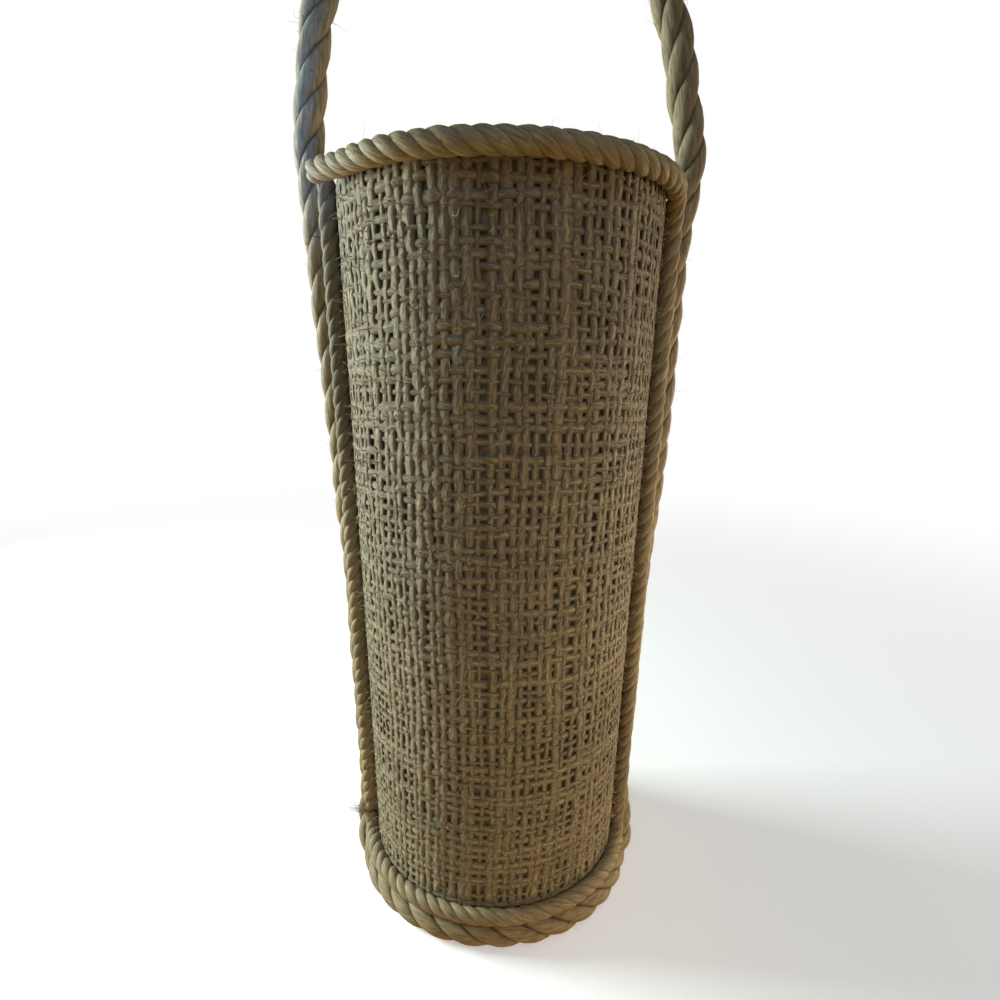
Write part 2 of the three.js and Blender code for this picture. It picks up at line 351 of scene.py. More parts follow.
def fibreMaterial(name, look):
    # Yarn or rope: streaky fibres, each yarn a little different, with painted shade between the yarns and a
    # painted crest highlight
    material, tree, shader, spot, broad = newMaterial(name, look)
    lay = nodeIn(tree, "UVMap", uv_map="lay")[0]
    tone, crown = (nodeIn(tree, "Attribute", attribute_name=a)["Fac"] for a in ("tone", "crown"))
    grain = placed(tree, fibreGrain, {
        "Lay": lay, "Streaks": look["streaks"], "Length": look["length"], "Slant": look["slant"]})
    streak = ranged(tree, grain["Streak"], *fibreMasks["streak"])
    body = mixed(tree, streak, look["dark"], look["light"])
    body = tinted(tree, body, tone, look["cool"], look["warm"])
    body = tinted(tree, body, broad["Patch"], look["patchDark"], look["patchLight"])
    body = tinted(tree, body, broad["Tint"], white, look["stain"])
    body = mixed(tree, broad["Speck"], body, look["speck"])
    # Painted shade: the inward side of each strand or yarn takes the groove colour; on the yarns only the
    # crest keeps its colour, a painted highlight
    paintedGrooveMask = ranged(tree, crown, *look["paintedGrooveShadeEdge"], ease="SMOOTHSTEP")
    body = mixed(tree, paintedGrooveMask, look["paintedGrooveShade"], body)
    if "paintedShade" in look:  # painted shade: darker and a little bluer towards the rim, standing in for the shadow there
        height = nodeIn(tree, "SeparateXYZ", {0: spot})[2]
        paintedShade = ranged(tree, height, *look["paintedShadeEdge"], ease="SMOOTHSTEP")
        body = tinted(tree, body, paintedShade, white, look["paintedShade"])
    gloss = ranged(tree, grain["Height"], *fibreMasks["gloss"], look["rough"], look["silky"])
    tree.links.new(gloss, shader.inputs["Roughness"])
    dress(tree, shader, look, body, grain["Height"])
    return material


ropeFinish = {
    "rough": 0.90, "silky": 0.58, "sheen": 0.05,
    "dark": (0.195, 0.152, 0.090, 1), "light": (0.450, 0.372, 0.228, 1),
    "cool": (0.92, 0.95, 0.95, 1), "warm": (1.06, 1.02, 0.96, 1),
    "patchDark": (0.84, 0.83, 0.81, 1), "patchLight": (1.06, 1.05, 1.02, 1),
    "stain": (1.0, 0.93, 0.84, 1), "speck": (0.17, 0.125, 0.075, 1),
    # painted shade: the colour of each strand's inward side, where the strands shade each other
    "paintedGrooveShade": (0.095, 0.068, 0.037, 1), "paintedGrooveShadeEdge": (0.48, 0.78),
    "streaks": 17.0, "length": 190.0, "slant": -45.0, "patches": 26.0, "flecks": 700.0,
    "bump": 0.75, "bumpDistance": 0.00035,
}
yarnFinish = {
    "rough": 0.92, "silky": 0.60, "sheen": 0.20,
    "dark": (0.110, 0.090, 0.053, 1), "light": (0.520, 0.438, 0.280, 1),
    "cool": (0.88, 0.89, 0.88, 1), "warm": (1.08, 1.06, 1.02, 1),
    "patchDark": (0.86, 0.86, 0.85, 1), "patchLight": (1.05, 1.04, 1.01, 1),
    "stain": (0.98, 0.92, 0.85, 1), "speck": (0.12, 0.09, 0.055, 1),
    # painted shade on the yarns: all but the crest goes to this colour, so the crest reads as a painted
    # highlight
    "paintedGrooveShade": (0.130, 0.103, 0.060, 1), "paintedGrooveShadeEdge": (0.70, 1.0),
    "streaks": 13.0, "length": 330.0, "slant": 12.0, "patches": 22.0, "flecks": 800.0,
    "bump": 1.0, "bumpDistance": 0.0006,
}
# The left trim rope's finish, with painted shade: darker and bluer towards the rim, standing in for the
# shadow there
paintedShadeRopeFinish = dict(ropeFinish, paintedShade=(0.56, 0.58, 0.60, 1), paintedShadeEdge=(0.12, 0.20))
ropeMaterial = fibreMaterial("juteRope", ropeFinish)
paintedShadeRope = fibreMaterial("juteRopePaintedShade", paintedShadeRopeFinish)
yarnMaterial = fibreMaterial("burlapYarn", yarnFinish)


def boardMaterial(name, look):
    # Pressed paper board, stained by the glue
    material, tree, shader, spot, broad = newMaterial(name, look)
    stretched = nodeIn(tree, "Mapping", {"Vector": spot, "Scale": look["stretch"]})[0]
    fibre = noise(tree, stretched, *look["fibres"])
    body = mixed(tree, ranged(tree, fibre, *look["streak"]), look["dark"], look["light"])
    body = tinted(tree, body, broad["Patch"], look["stain"], white)
    body = mixed(tree, broad["Speck"], body, look["speck"])
    dress(tree, shader, look, body, fibre)
    return material


boardFinish = {
    "rough": 0.8, "sheen": 0.0, "stretch": (1.0, 1.0, 0.35), "fibres": (900.0, 5.0, 0.7),
    "streak": (0.35, 0.65), "patches": 40.0, "flecks": 1400.0,
    "dark": (0.320, 0.255, 0.160, 1), "light": (0.500, 0.415, 0.270, 1),
    "stain": (0.74, 0.70, 0.64, 1), "speck": (0.08, 0.055, 0.03, 1),
    "bump": 0.5, "bumpDistance": 0.0002,
}
board = boardMaterial("glueStainedBoard", boardFinish)


def calicoMaterial(name, look):
    # Unbleached cotton: a fine plain weave from two waves over the piece's own UV in metres
    material, tree, shader, spot, broad = newMaterial(name, look)
    lay = nodeIn(tree, "UVMap", uv_map="lay")[0]
    parts = nodeIn(tree, "SeparateXYZ", {0: lay})
    turns = [maths(tree, "MULTIPLY", parts[axis], 2 * math.pi / look["pitch"]) for axis in (0, 1)]
    plain = maths(tree, "MULTIPLY", *(maths(tree, "SINE", turn) for turn in turns))
    slub = noise(tree, spot, *look["slubs"])
    height = maths(tree, "MULTIPLY_ADD", slub, look["slubShare"], plain)
    body = mixed(tree, ranged(tree, height, *look["shade"]), look["dark"], look["light"])
    body = tinted(tree, body, broad["Patch"], look["stain"], white)
    dress(tree, shader, look, body, height)
    return material


calicoFinish = {
    "rough": 0.9, "sheen": 0.15, "pitch": 0.0012, "slubs": (420.0, 3.0), "slubShare": 2.0,
    "shade": (0.0, 2.0), "patches": 24.0, "flecks": 900.0,
    "dark": (0.30, 0.245, 0.165, 1), "light": (0.47, 0.40, 0.285, 1), "stain": (0.84, 0.81, 0.76, 1),
    "bump": 0.6, "bumpDistance": 0.00012,
}
calico = calicoMaterial("unbleachedCalico", calicoFinish)
print("materials made")


# Routes of the ropes on the wall

ropes = {
    "trimRadius": 0.003, "carryRadius": 0.0045, "gap": 0.0003, "joint": 0.0004,
    "cornerRadius": 0.011, "footRadius": 0.006, "bendRadius": 0.014,
    "pressed": 0.0009, "ringHigh": 0.87,  # the trim sinks into the cloth; the ring's middle in rope radii
}
trimRadius, carryRadius = ropes["trimRadius"], ropes["carryRadius"]
wallReach = carryRadius + ropes["gap"]
spacing = trimRadius + carryRadius + ropes["gap"]
trimPath = coverRadius + trimRadius + ropes["gap"] - ropes["pressed"]
carryPath = coverRadius + wallReach
ringZ = carryRadius * ropes["ringHigh"]
ringPath = coverRadius + math.sqrt(wallReach**2 - (wallBottomZ - ringZ) ** 2)
sideTurn = math.pi / 2
trimTurn = sideTurn - math.acos((trimPath**2 + carryPath**2 - spacing**2) / (2 * trimPath * carryPath))
trimTopZ = rimZ - trimRadius
trimFootZ = ringZ + math.sqrt(spacing**2 - (trimPath - ringPath) ** 2)
pivotZ = rimZ + carryRadius + ropes["gap"]


def roundedRoute(stops, radii, step=0.0005, arcPoints=24):
    # Straight runs between stops on the unrolled wall, each inner stop rounded by an arc of its radius
    stops = np.array(stops, float)
    parts = [stops[:1]]
    for before, at, after, radius in zip(stops, stops[1:], stops[2:], radii):
        a, b = unit(before - at), unit(after - at)
        half = math.acos(np.clip(a @ b, -1, 1)) / 2
        middle = at + unit(a + b) * radius / math.sin(half)
        start, end = at + a * radius / math.tan(half), at + b * radius / math.tan(half)
        first = math.atan2(*(start - middle)[::-1])
        sweep = math.atan2(*(end - middle)[::-1]) - first
        sweep = (sweep + math.pi) % (2 * math.pi) - math.pi
        t = first + sweep * np.linspace(0, 1, arcPoints)
        parts.append(middle + radius * np.stack([np.cos(t), np.sin(t)], axis=-1))
    parts.append(stops[-1:])
    return evenly(np.concatenate(parts), step)


strandShape = {
    "evenEnds": 0.012, "layDrift": 0.02, "sizeDrift": 0.010,  # metres along the rope
    "smallest": 0.0009,  # the square of the share of its size that a rounded end keeps
    "reachAtEnd": 0.45, "reachGained": 0.55,  # how far out a strand lies, as shares
    "tone": 0.25, "toneRange": 0.5,
}


def strandedRope(name, path, outward, radius, look, startTurn=0.0, ends=(0.0, 0.0), twist=None, lift=None,
                 material=ropeMaterial):
    # Three strands wound round the path. Strand k stands at angle start + 2 pi k / 3 + 2 pi s / lay;
    # a twist, where it is given, is the whole turn in radians.
    # Each strand's section is an ellipse, and its ends are rounded over the lengths given.
    # The uneven lay and thickness fade out at both ends, so that two pieces meet strand to strand.
    path = evenly(np.concatenate([path, outward], axis=1), look["step"])
    path, outward = path[:, :3], path[:, 3:]
    run = alongPath(path)
    ahead = unit(np.gradient(path, axis=0))
    away = unit(outward - (outward * ahead).sum(1, keepdims=True) * ahead)
    side = np.cross(ahead, away)
    count = len(path)
    strand = np.arange(3)[:, None]
    fade = smoothStep(np.minimum(run, run[-1] - run) / strandShape["evenEnds"])
    drift = look["unevenLay"] * smoothNoise(1, count, strandShape["layDrift"] / look["step"]) * fade
    turns = 2 * math.pi * run / look["lay"] if twist is None else twist * run / run[-1]
    angle = startTurn + 2 * math.pi * strand / 3 + turns + drift
    swell = look["unevenSize"] * smoothNoise(3, count, strandShape["sizeDrift"] / look["step"]) * fade
    thick = look["strandHigh"] * radius * (1 + swell)
    close = np.ones(count)
    for length, distance in ((ends[0], run), (ends[1], run[-1] - run)):
        if length > 0:
            close = np.minimum(close, distance / length)
    blunt = np.sqrt(np.clip(1 - (1 - close) ** 2, strandShape["smallest"], 1))
    reach = strandShape["reachAtEnd"] + strandShape["reachGained"] * blunt
    reach = (look["fill"] - look["strandHigh"]) * radius * reach
    aside = np.cos(angle)[..., None] * away + np.sin(angle)[..., None] * side
    centre = path + reach[None, :, None] * aside
    wide = look["strandWide"] / look["strandHigh"] * thick * blunt
    tone = dice.random(3) * strandShape["toneRange"] + strandShape["tone"]
    if lift is not None:
        centre = lift(centre)
    piece = tubes(name, centre, aside, wide, thick * blunt, look["sides"], material, tone, look["uneven"])
    return piece


trimLook = {
    "lay": 0.0155, "fill": 1.02, "strandHigh": 0.58, "strandWide": 0.64, "step": 0.0009, "sides": 14,
    "unevenLay": 0.16, "unevenSize": 0.05, "uneven": 0.018,
    "wander": 0.00012, "wanderSpread": 60,  # metres off its line, and points over which it wanders
}
carryLook = {
    "lay": 0.033, "fill": 1.05, "strandHigh": 0.58, "strandWide": 0.66, "step": 0.0012, "sides": 18,
    "unevenLay": 0.09, "unevenSize": 0.035, "uneven": 0.014,
}


# How the thick rope leaves its even place at the two sides, in metres

sideFit = {
    "lowTop": 0.18, "lowTopFade": 0.07, "lowFoot": 0.012, "lowFootFade": 0.02,  # the low part, in z
    "sunk": 0.0005,  # the whole rope, low on the wall
    "flatLeft": 0.0013, "flatRight": 0.0021,  # how far its outer strands are pressed in there
    "flatFrom": 0.0024, "flatFade": 0.004,  # inward of its middle, and outward from there
    "drawnOut": ((0.0026, 0.165, 0.075), (0.0001, 0.225, 0.01)),  # left and right: how far, from where, fade
    "groundSoft": 0.00035,
}


def lowOnWall(z):
    # 1 along the lower part of the side ropes, fading to 0 above it and towards the ground
    above = smoothStep((sideFit["lowTop"] - z) / sideFit["lowTopFade"])
    return above * smoothStep((z - sideFit["lowFoot"]) / sideFit["lowFootFade"])


def pressedFlat(points):
    # Low on the wall the thick rope's outer strands lie nearer to the wall. On the ground it is flat
    # too: a strand's z is the soft maximum of z and its own half height.
    soft, lowest = sideFit["groundSoft"], carryLook["strandHigh"] * carryRadius
    points = points.copy()
    reach = np.hypot(points[..., 0], points[..., 1])
    flat = np.where(points[..., 0] < 0, sideFit["flatLeft"], sideFit["flatRight"]) * lowOnWall(points[..., 2])
    flat = flat * smoothStep((reach - carryPath + sideFit["flatFrom"]) / sideFit["flatFade"])
    points[..., :2] *= (1 - flat / reach)[..., None]
    points[..., 2] = soft * np.logaddexp(0, (points[..., 2] - lowest) / soft)
    points[..., 2] += lowest
    return points


# The handle comes first: its route runs on from the side ropes through the rim and over in an arch

handleStart = 0.015  # below the rim
handleCurve = {"step": 0.0008, "easePoints": 6, "easeSpan": 4.0, "easeSoft": 6.0}  # points on each side
archPoints = {  # x and z of the rope's middle in millimetres: up the left leg, over, and down the right
    "left": [(-57.4, 234), (-57.7, 245), (-58.1, 255), (-58.1, 261), (-57.5, 266), (-56.8, 271),
             (-55.0, 282)],
    "over": [(-52.6, 292), (-47.2, 305), (-37.6, 319.5), (-25.2, 331.5), (-13.4, 338.3), (-2.7, 341),
             (7.8, 338.3), (19.6, 331.5), (32.0, 319.5), (41.8, 305), (47.6, 292)],
    "right": [(51.0, 283), (53.6, 272), (55.1, 267), (56.5, 262), (57.1, 257), (56.8, 251), (55.7, 241),
              (54.9, 234)],
}


def curveThrough(points, step, samples=12):
    # A Catmull-Rom curve through the points, then evenly spaced
    p = np.array(points, float)
    p = np.concatenate([2 * p[:1] - p[1:2], p, 2 * p[-1:] - p[-2:-1]])
    t = np.linspace(0, 1, samples, endpoint=False)[:, None]
    curve = catmullRom(*(p[i:len(p) - 3 + i, None] for i in range(4)), t)
    return evenly(np.concatenate([curve.reshape(-1, p.shape[1]), p[-2:-1]]), step)


def handleRoute():
    # The curve through the arch's points, eased by a running mean weighted as a bell
    points = sum(archPoints.values(), [])
    flat = curveThrough([(x / 1000, z / 1000) for x, z in points], handleCurve["step"])
    beside, span = handleCurve["easePoints"], handleCurve["easeSpan"]
    ease = np.exp(-(np.linspace(-span, span, 2 * beside + 1) ** 2) / handleCurve["easeSoft"])
    padded = np.pad(flat, ((beside, beside), (0, 0)), mode="reflect", reflect_type="odd")
    x, z = (np.convolve(padded[:, i], ease / ease.sum(), "valid") for i in (0, 1))
    return np.stack([x, 0 * x, z], axis=-1)


def strayFromWall(azimuth, z):
    # How far the thick rope stands off its place on the wall: the handle draws it out near the rim
    left, right = (out * smoothStep((z - start) / fade) for out, start, fade in sideFit["drawnOut"])
    return left * (azimuth < 0) + right * (azimuth > 0) - sideFit["sunk"] * lowOnWall(z)


def carryingRoute():
    topZ, low = rimZ - handleStart, sideTurn * carryPath
    flat = roundedRoute([[-low, topZ], [-low, ringZ], [low, ringZ], [low, topZ]], [ropes["bendRadius"]] * 2)
    azimuth, z = flat[:, 0] / carryPath, flat[:, 1]
    below = np.maximum(0, wallBottomZ - z)  # under the wall the rope turns in, at wallReach from its edge
    radius = coverRadius + np.sqrt(np.maximum(0, wallReach**2 - below**2)) + strayFromWall(azimuth, z)
    return onWall(azimuth, z, radius), onWall(azimuth, 0 * z, 1.0)


def makeHandle():
    # Its twist is the whole number of strand steps that meets the side rope's strands at both rims
    path = handleRoute()
    length = alongPath(path)[-1]
    carried = alongPath(carryingRoute()[0])[-1]
    start = -math.pi / 2 - carryTurn
    wanted = -math.pi / 2 - (carryTurn + 2 * math.pi * carried / carryLook["lay"]) - start
    third = 2 * math.pi / 3
    twist = wanted + third * round((2 * math.pi * length / carryLook["lay"] - wanted) / third)
    facing = np.broadcast_to([0.0, -1.0, 0.0], path.shape)
    handle = strandedRope("handleArch", path, facing, carryRadius, carryLook, start, twist=twist)
    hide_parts("handle_rope")
    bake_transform(handle)


carryTurn = 0.0
makeHandle()
print("handle made")


# The trim ropes

rimEnd = {
    "leaves": -45.0, "endsAt": -67.4,  # degrees
    "lift": 0.0008, "blunt": 0.0024, "meets": 0.0005,  # metres
    "points": 40,
}
trims = {
    "frontTurn": 0.5, "leftTurn": 2.2, "rearTurn": 1.1,  # where the strands start, in radians
    "blunt": 0.0012, "bluntTop": 0.0016, "bluntRear": 0.0006, "leftRaised": 0.0034,  # metres
    "cornerOver": 0.5,  # in rope radii
}


def makeTrim(name, node, stops, radii, ends, startTurn, material=ropeMaterial, looseEnd=False):
    # Stops are azimuth and z; widths on the unrolled wall are measured at the rope's own radius
    flat = roundedRoute([[a * trimPath, z] for a, z in stops], radii)
    azimuth, z = flat[:, 0] / trimPath, flat[:, 1]
    count, wander, spread = len(z), trimLook["wander"], trimLook["wanderSpread"]
    azimuth = azimuth + wander / trimPath * smoothNoise(1, count, spread)[0]
    z = z + wander * smoothNoise(1, count, spread)[0]
    path, outward = onWall(azimuth, z, trimPath), onWall(azimuth, 0 * z, 1.0)
    if looseEnd:
        # The stiff end runs straight on off the rim, a little upwards, and lies on the handle's rope
        leaves, points = math.radians(rimEnd["leaves"]), rimEnd["points"]
        first = int(np.argmax(azimuth > leaves))  # the route starts at its rim end
        path, outward = path[first:], outward[first:]
        length = trimPath * math.tan(leaves - math.radians(rimEnd["endsAt"]))
        d = np.linspace(length, rimEnd["meets"], points)[:, None]
        away = np.array([-math.cos(leaves), -math.sin(leaves), 0.0])
        straight = path[:1] + d * away + smoothStep(d / length) * [0, 0, rimEnd["lift"]]
        path = np.concatenate([straight, path])
        outward = np.concatenate([np.repeat(outward[:1], points, axis=0), outward])
    piece = strandedRope(name, path, outward, trimRadius, trimLook, startTurn, ends, material=material)
    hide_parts(node)
    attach(piece, "bag")


def makeTrims():
    over = trims["cornerOver"] * trimRadius / trimPath
    jointZ = trimFootZ + ropes["footRadius"] + trimRadius
    corner, foot, joint = ropes["cornerRadius"], ropes["footRadius"], ropes["joint"] / 2
    blunt, bluntRear = trims["blunt"], trims["bluntRear"]
    makeTrim(
        "frontTrim", "front_trim_rope",
        [(-trimTurn - over, trimTopZ), (trimTurn, trimTopZ), (trimTurn, trimFootZ), (-trimTurn, trimFootZ),
         (-trimTurn, jointZ - joint)],
        [corner, foot, foot], (rimEnd["blunt"], blunt), trims["frontTurn"], looseEnd=True,
    )
    # The left upright trim takes the rope finish with painted shade towards the rim
    makeTrim(
        "frontTrimLeft", "front_trim_left_rope",
        [(-trimTurn, jointZ + joint), (-trimTurn, trimTopZ + trims["leftRaised"])],
        [], (blunt, trims["bluntTop"]), trims["leftTurn"], paintedShadeRope,
    )
    right, left = math.pi - trimTurn, math.pi + trimTurn
    makeTrim(
        "rearTrim", "rear_trim_rope",
        [(math.pi - joint / trimPath, trimFootZ), (right, trimFootZ), (right, trimTopZ), (left, trimTopZ),
         (left, trimFootZ), (math.pi + joint / trimPath, trimFootZ)],
        [foot, corner, corner, foot], (bluntRear, bluntRear), trims["rearTurn"],
    )


makeTrims()
print("trim ropes made")


# The thick rope down the sides and under the wall

rearBase = {"points": 400, "turn": 0.9, "blunt": 0.0025}


def makeCarrying():
    path, outward = carryingRoute()
    piece = strandedRope("carryingRope", path, outward, carryRadius, carryLook, carryTurn, lift=pressedFlat)
    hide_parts("carrying_rope")
    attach(piece, "bag")
    bend = ropes["bendRadius"]
    clear = math.sqrt((bend + carryRadius + ropes["joint"]) ** 2 - (bend - carryRadius) ** 2) - bend
    start = sideTurn + clear / ringPath
    around = np.linspace(start, 2 * math.pi - start, rearBase["points"])
    path, outward = onWall(around, ringZ, ringPath), onWall(around, 0, 1.0)
    piece = strandedRope(
        "rearBaseRope", path, outward, carryRadius, carryLook, rearBase["turn"], (rearBase["blunt"],) * 2,
        lift=pressedFlat)
    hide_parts("rear_base_rope")
    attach(piece, "bag")


makeCarrying()
print("carrying rope made")


# The burlap: yarns that go over and under each other on the wall and in over the rim

weave = {
    "acrossPitch": 0.00306, "upPitch": 0.00332, "foldRadius": 0.0013, "thickness": 0.0016, "hemDepth": 0.012,
    "board": 0.002, "seam": 0.0006, "edge": 0.0001,  # the tube's wall, the seam, the yarns' ends from it
    "slub": 0.19, "unevenRise": 0.60, "uneven": 0.06, "pointed": 0.25, "sunk": 0.0001, "sides": 6,
    "warpWander": 0.00044, "weftWander": 0.00052, "slope": 0.0011, "slopeWave": (2.2, 0.4),
    "wander": ((0.8, 5), (0.5, 1)),  # shares, and spreads in crossings
    "slubs": ((0.8, 2.5), (0.4, 0.5)), "riseSpread": 0.7,
    "rowDrift": (0.0006, 14), "columnDrift": (0.0005, 12),  # metres, and spreads in crossings
    "calmAcross": 2, "calmUp": 3,  # crossings over which the shifts grow from the edge
    "crimp": 0.8, "yarnSize": (0.6, 1.35), "slubSize": (0.5, 1.4), "tone": 0.5, "toneSpread": 0.22,
    "Uprights": {"rise": 0.00012, "halfHigh": 0.00048, "halfWide": 0.00152, "spread": 0.16},
    "Levels": {"rise": 0.00016, "halfHigh": 0.00046, "halfWide": 0.00132, "spread": 0.19},
}
clothRadius = coverRadius - weave["thickness"] / 2
clothMiddle = clothRadius - weave["sunk"]
hemRadius = coverRadius - weave["thickness"] * 1.5 - 2 * ropes["gap"] - weave["board"]
foldTopZ = rimZ - weave["thickness"] / 2


def clothProfile(at, arcPoints=12, step=0.0002):
    # The cloth's middle from the wall's foot, up, in over the rim and down inside: radius, z, normal
    bend = weave["foldRadius"]
    t = np.linspace(0, math.pi / 2, arcPoints)
    outer, inner = clothMiddle - bend + bend * np.cos(t), hemRadius + bend - bend * np.sin(t)
    rise, fall = foldTopZ - bend + bend * np.sin(t), foldTopZ - bend + bend * np.cos(t)
    r = np.concatenate([[clothMiddle], outer, inner, [hemRadius]])
    z = np.concatenate([[wallBottomZ], rise, fall, [rimZ - weave["hemDepth"]]])
    path = evenly(np.stack([r, z], axis=-1), step)
    run = alongPath(path)
    slope = unit(np.gradient(path, axis=0))
    return [np.interp(at, run, a) for a in (path[:, 0], path[:, 1], slope[:, 1], -slope[:, 0])]


def profileLength():
    bend = weave["foldRadius"]
    wall, hem = foldTopZ - bend - wallBottomZ, foldTopZ - bend - rimZ + weave["hemDepth"]
    return wall + math.pi * bend + (clothMiddle - hemRadius - 2 * bend) + hem


def finer(grid, samples):
    # Points between the columns of a grid, on Catmull-Rom curves
    t = np.arange(samples) / samples
    p = np.pad(grid, ((0, 0), (1, 2)), mode="edge")
    curve = catmullRom(*(p[:, i:i + grid.shape[1], None] for i in range(4)), t)
    return curve.reshape(len(grid), -1)[:, : (grid.shape[1] - 1) * samples + 1]


def withEnds(grid, first=None, last=None):
    # One more column at either end: of the value given, or like the column beside it
    start = grid[:, :1] if first is None else 0 * grid[:, :1] + first
    end = grid[:, -1:] if last is None else 0 * grid[:, -1:] + last
    return np.concatenate([start, grid, end], axis=1)


def makePanel(name, node, middleTurn, samples):
    # Crossing (i, j) of upright i and level j lies at (i + 1/2, j + 1/2) pitches, moved a little.
    # An upright's height there is rise * (-1) ^ (i + j), a level yarn's the opposite, both uneven.
    width = math.pi * clothRadius - weave["seam"]
    height = profileLength()
    uprights, levels = int(round(width / weave["acrossPitch"])), int(round(height / weave["upPitch"]))
    acrossPitch, upPitch = width / uprights, height / levels
    i, j = np.arange(uprights)[:, None], np.arange(levels)[None]
    shiftA = weave["warpWander"] * wandering(uprights, levels, weave["wander"])
    shiftA += wandering(1, levels, [weave["rowDrift"]])
    shiftS = weave["weftWander"] * wandering(levels, uprights, weave["wander"]).T
    turn, start = weave["slopeWave"]
    bow = weave["slope"] * np.sin(turn * i / uprights + start)
    shiftS += bow + wandering(1, uprights, [weave["columnDrift"]]).T
    edgeA = np.minimum(1, np.minimum(i, uprights - 1 - i) / weave["calmAcross"])
    edgeS = np.minimum(1, np.minimum(j, levels - 1 - j) / weave["calmUp"])
    across = (i + 0.5) * acrossPitch - width / 2 + shiftA * edgeA
    up = (j + 0.5) * upPitch + shiftS * edgeS
    over = np.where((i + j) % 2 == 0, 1.0, -1.0)
    edge = weave["edge"]
    for kind, a, s, signs, side in (
        ("Uprights", across, up, over, 1), ("Levels", across.T, up.T, over.T, -1),
    ):
        yarns, crossings = a.shape
        a, s = finer(a, samples), finer(s, samples)
        look = weave[kind]
        uneven = 1 + weave["unevenRise"] * smoothNoise(yarns, crossings, weave["riseSpread"])
        wave = finer(signs * uneven, samples)
        lift = withEnds(side * look["rise"] * np.sign(wave) * np.abs(wave) ** weave["crimp"])
        if side == 1:  # the yarns run on to the cloth's edges
            a, s = withEnds(a), withEnds(s, edge, height - edge)
        else:
            a, s = withEnds(a, edge - width / 2, width / 2 - edge), withEnds(s)
        r, z, nr, nz = clothProfile(s)
        azimuth = middleTurn + a / clothRadius
        outward = np.stack([nr * np.sin(azimuth), -nr * np.cos(azimuth), nz], axis=-1)
        centre = onWall(azimuth, z, r) + lift[..., None] * outward
        slubs = [(share, spread * samples) for share, spread in weave["slubs"]]
        size = np.clip(1 + look["spread"] * dice.standard_normal((yarns, 1)), *weave["yarnSize"])
        size = size * (1 + weave["slub"] * wandering(yarns, a.shape[1], slubs))
        size = np.clip(size, *weave["slubSize"])
        wide = look["halfWide"] * size
        high = look["halfHigh"] * np.sqrt(size)
        tone = np.clip(weave["tone"] + weave["toneSpread"] * dice.standard_normal(yarns), 0, 1)
        piece = tubes(name + kind, centre, outward, wide, high, weave["sides"], yarnMaterial, tone,
                      weave["uneven"], weave["pointed"])
        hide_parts(node)
        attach(piece, "bag")
    print(name, uprights, "by", levels, "yarns")


makePanel("frontBurlap", "front_burlap_panel", 0.0, 4)
makePanel("rearBurlap", "rear_burlap_panel", math.pi, 3)


# The burlap disc under the board: straight yarns cut to a circle

discCloth = {
    "radius": 0.0453, "pitch": 0.0032, "rise": 0.00036, "halfHigh": 0.00040, "halfWide": 0.00110,
    "samples": 3, "wander": (0.0002, 8), "swell": (0.14, 6),  # size and spread
    "yarnSize": (0.65, 1.2), "tone": 0.45, "toneSpread": 0.2,
}


def makeDisc():
    # A yarn's height is rise * cos(pi (along / pitch + its number)), the crossing yarns' the opposite
    pitch, radius = discCloth["pitch"], discCloth["radius"]
    half = int(radius / pitch)
    lines = np.arange(-half, half + 1)
    middleZ = (discBox[0][2] + discBox[1][2]) / 2
    steps = 2 * half * discCloth["samples"] + 1
    share = np.linspace(-1, 1, steps)[None]
    for kind, side in (("Lengthways", 1), ("Crossways", -1)):
        off = lines[:, None] * pitch + wandering(len(lines), steps, [discCloth["wander"]])
        along = share * np.sqrt(np.maximum(0, radius**2 - (lines[:, None] * pitch) ** 2))
        wave = np.cos(math.pi * (along / pitch + lines[:, None])) * side
        z = middleZ - discCloth["rise"] * wave
        spot = (along, off, z) if side == 1 else (off, along, z)
        centre = np.stack(spot, axis=-1)
        outward = np.broadcast_to([0.0, 0.0, -1.0], centre.shape)
        size = np.clip(1 + wandering(len(lines), steps, [discCloth["swell"]]), *discCloth["yarnSize"])
        tone = np.clip(discCloth["tone"] + discCloth["toneSpread"] * dice.standard_normal(len(lines)), 0, 1)
        piece = tubes("baseDisc" + kind, centre, outward, discCloth["halfWide"] * size,
                      discCloth["halfHigh"] * size, weave["sides"], yarnMaterial, tone, weave["uneven"])
        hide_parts("base_burlap_disc")
        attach(piece, "bag")


makeDisc()
print("base disc made")


# The lining: a sleeve and a disc of calico, turned about the axis with slight puckers

lining = {
    "inner": 0.0450, "thickness": 0.0007, "pucker": 0.00016, "around": 240, "rows": 90,
    "ripples": (5, 9, 14, 22), "phase": 6, "climb": 9,  # waves round the axis; radians
    "floorPucker": 0.00005, "floorHole": 0.0004, "floorRows": 60,
}


